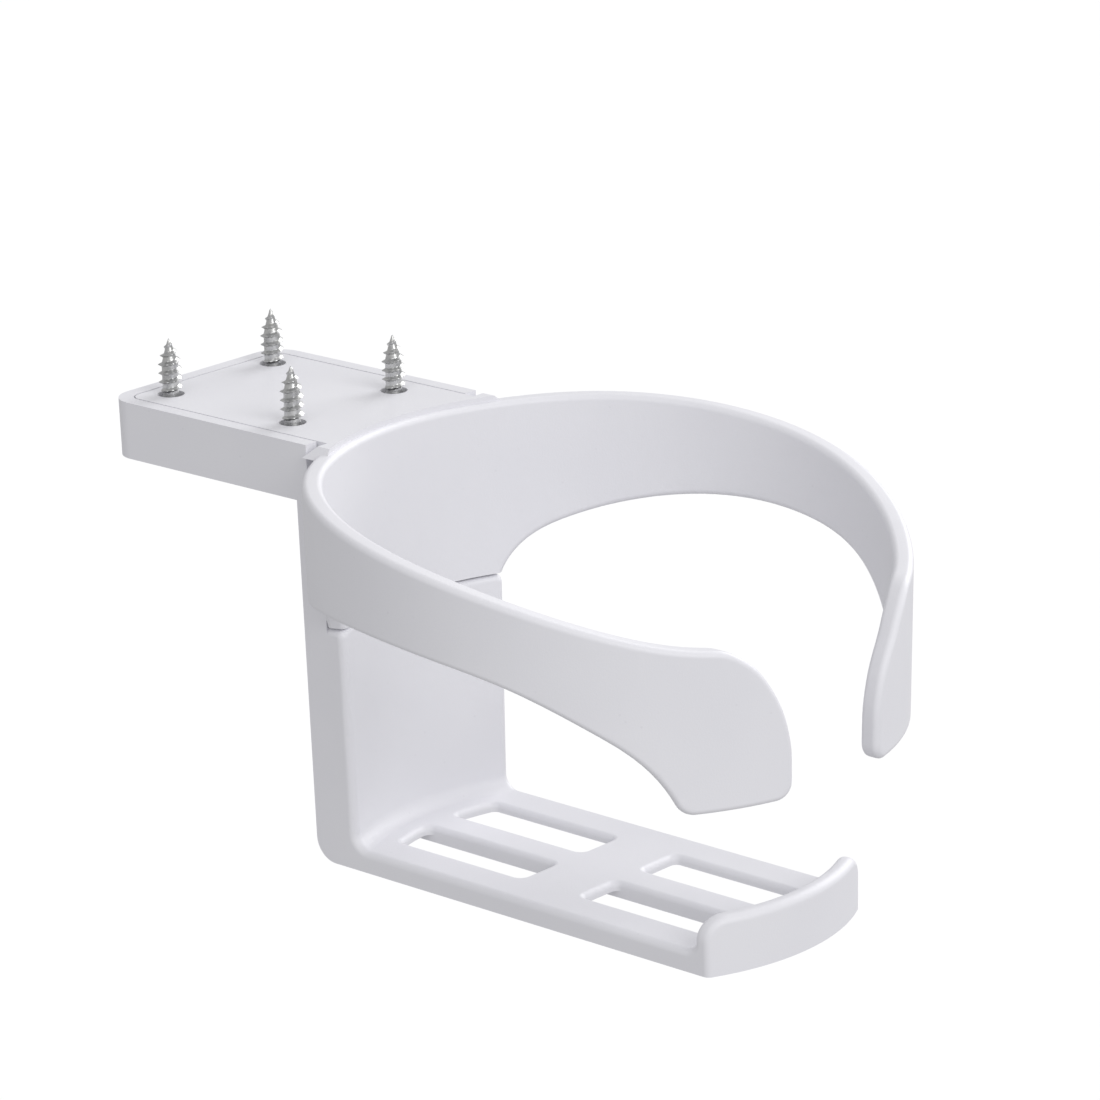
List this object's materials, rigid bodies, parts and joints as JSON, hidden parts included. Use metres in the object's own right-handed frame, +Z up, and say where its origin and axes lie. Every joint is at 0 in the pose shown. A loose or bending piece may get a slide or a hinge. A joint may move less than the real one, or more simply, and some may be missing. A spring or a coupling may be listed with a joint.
{
  "type": "under-desk cup holder",
  "caption": "C-shaped cup collar on an L-shaped bracket with a slotted drop tray; screws to the underside of a desk so that the cup hangs beside its edge.",
  "frame": {"origin": "centre of the four desk screws, on the plane of the desk's underside, which is the top face of the collar's tongue", "axes": "+Z up into the desk, +X along the desk's edge, -Y out from under the desk towards the user, where the cup hangs"},
  "size_m": [0.0958, 0.1383, 0.0808],
  "materials": {
    "collar_plastic": "semi-gloss white moulded plastic, slightly cool, with a very fine mould grain",
    "bracket_plastic": "semi-gloss white moulded plastic, slightly cool, with a very fine mould grain",
    "desk_screw_steel": "bright zinc-plated steel",
    "joint_screw_steel": "bright zinc-plated steel"
  },
  "bodies": {
    "root": {"collar": "collar_plastic", "bracket": "bracket_plastic", "desk_screws": "desk_screw_steel", "joint_screws": "joint_screw_steel"}
  },
  "joints": []
}
